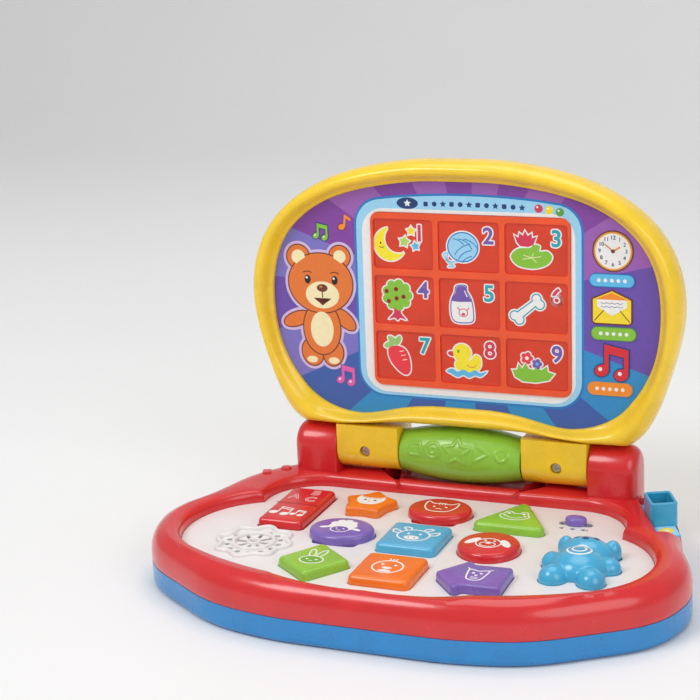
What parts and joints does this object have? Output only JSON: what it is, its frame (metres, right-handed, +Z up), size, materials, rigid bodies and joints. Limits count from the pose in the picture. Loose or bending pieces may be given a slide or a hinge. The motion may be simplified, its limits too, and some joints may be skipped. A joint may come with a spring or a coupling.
{
  "type": "toy laptop computer",
  "caption": "Toddler's toy laptop with a hinged picture-panel lid, shaped push keys, a roller, two sliders and a carrying handle.",
  "frame": {"origin": "on the table, under the middle of the toy's bounding box", "axes": "+X to the user's right, +Y to the rear (hinge and handle), +Z up"},
  "size_m": [0.3006, 0.235, 0.2182],
  "materials": {
    "blue_case": "glossy",
    "red_case": "glossy",
    "white_deck": "satin",
    "screw_steel": "brushed",
    "contact_steel": "brushed",
    "cell_jacket": "painted",
    "circuit_board": "satin",
    "black_epoxy": "glossy",
    "grey_rubber": "matte",
    "speaker_steel": "painted",
    "speaker_paper": "matte",
    "switch_body": "satin",
    "printed_strip": "matte",
    "hinge_nylon": "satin",
    "wire_jacket": "matte",
    "yellow_lid": "glossy",
    "printed_panel": "glossy",
    "screen_lens": "glossy",
    "white_baffle": "satin",
    "led_clear": "glossy",
    "badge_print": "glossy",
    "axle_steel": "brushed",
    "green_key": "glossy",
    "orange_key": "glossy",
    "red_key": "glossy",
    "purple_key": "glossy",
    "blue_key": "glossy",
    "cyan_slider": "glossy"
  },
  "bodies": {
    "base": {"base_lower_case": "blue_case", "base_upper_case": "red_case", "keyboard_deck": "white_deck", "carry_handle": "blue_case", "battery_door": "blue_case", "battery_door_screw": "screw_steel", "battery_contacts": "contact_steel", "batteries": "cell_jacket", "case_screws": "screw_steel", "main_circuit_board": "circuit_board", "sound_chip": "black_epoxy", "keypad_membrane": "grey_rubber", "speaker_frame": "speaker_steel", "speaker_cone": "speaker_paper", "power_switch": "switch_body", "mode_switch_board": "circuit_board", "mode_label": "printed_strip", "hinge_pin_left": "hinge_nylon", "hinge_pin_right": "hinge_nylon", "hinge_wire_loom": "wire_jacket"},
    "lid": {"lid_rear_shell": "yellow_lid", "lid_front_bezel": "yellow_lid", "screen_panel": "printed_panel", "screen_lens": "screen_lens", "light_baffle": "white_baffle", "led_board": "circuit_board", "screen_leds": "led_clear", "lid_hinge_screws": "screw_steel", "lid_badge": "badge_print", "roller_axle": "axle_steel"},
    "roller": {"roller": "green_key"},
    "star_key": {"star_key": "orange_key"},
    "cat_key": {"cat_key": "red_key"},
    "triangle_key": {"triangle_key": "green_key"},
    "sheep_key": {"sheep_key": "purple_key"},
    "cow_key": {"cow_key": "blue_key"},
    "dog_key": {"dog_key": "red_key"},
    "rhombus_key": {"rhombus_key": "green_key"},
    "chick_key": {"chick_key": "orange_key"},
    "arrow_key": {"arrow_key": "purple_key"},
    "rocker_key": {"rocker_key": "red_key"},
    "bear_pad": {"bear_pad": "blue_key"},
    "power_slider": {"power_slider": "purple_key"},
    "mode_slider": {"mode_slider": "cyan_slider"}
  },
  "joints": [
    {"name": "lid_hinge", "type": "hinge", "parent": "base", "child": "lid", "pos_m": [0, 0.055, 0.047], "axis": [1, 0, 0], "range_deg": [0, 92]},
    {"name": "roller_spin", "type": "hinge", "parent": "lid", "child": "roller", "pos_m": [0, 0.055, 0.047], "axis": [1, 0, 0], "continuous": true},
    {"name": "star_key_press", "type": "slide", "parent": "base", "child": "star_key", "axis": [0, 0, -1], "range_m": [0, 0.0025], "stiffness_N_per_m": 300, "springref_m": -0.001},
    {"name": "cat_key_press", "type": "slide", "parent": "base", "child": "cat_key", "axis": [0, 0, -1], "range_m": [0, 0.0025], "stiffness_N_per_m": 300, "springref_m": -0.001},
    {"name": "triangle_key_press", "type": "slide", "parent": "base", "child": "triangle_key", "axis": [0, 0, -1], "range_m": [0, 0.0025], "stiffness_N_per_m": 300, "springref_m": -0.001},
    {"name": "sheep_key_press", "type": "slide", "parent": "base", "child": "sheep_key", "axis": [0, 0, -1], "range_m": [0, 0.0025], "stiffness_N_per_m": 300, "springref_m": -0.001},
    {"name": "cow_key_press", "type": "slide", "parent": "base", "child": "cow_key", "axis": [0, 0, -1], "range_m": [0, 0.0025], "stiffness_N_per_m": 300, "springref_m": -0.001},
    {"name": "dog_key_press", "type": "slide", "parent": "base", "child": "dog_key", "axis": [0, 0, -1], "range_m": [0, 0.0025], "stiffness_N_per_m": 300, "springref_m": -0.001},
    {"name": "rhombus_key_press", "type": "slide", "parent": "base", "child": "rhombus_key", "axis": [0, 0, -1], "range_m": [0, 0.0025], "stiffness_N_per_m": 300, "springref_m": -0.001},
    {"name": "chick_key_press", "type": "slide", "parent": "base", "child": "chick_key", "axis": [0, 0, -1], "range_m": [0, 0.0025], "stiffness_N_per_m": 300, "springref_m": -0.001},
    {"name": "arrow_key_press", "type": "slide", "parent": "base", "child": "arrow_key", "axis": [0, 0, -1], "range_m": [0, 0.0025], "stiffness_N_per_m": 300, "springref_m": -0.001},
    {"name": "bear_pad_press", "type": "slide", "parent": "base", "child": "bear_pad", "axis": [0, 0, -1], "range_m": [0, 0.0025], "stiffness_N_per_m": 400, "springref_m": -0.001},
    {"name": "rocker_tilt", "type": "hinge", "parent": "base", "child": "rocker_key", "pos_m": [-0.08, -0.006, 0.0213], "axis": [1, 0, 0], "range_deg": [-4, 4], "stiffness_Nm_per_rad": 0.3},
    {"name": "power_slide", "type": "slide", "parent": "base", "child": "power_slider", "axis": [1, 0, 0], "range_m": [-0.005, 0.005]},
    {"name": "mode_slide", "type": "slide", "parent": "base", "child": "mode_slider", "axis": [0.4258, -0.9048, 0], "range_m": [-0.014, 0.014]}
  ]
}
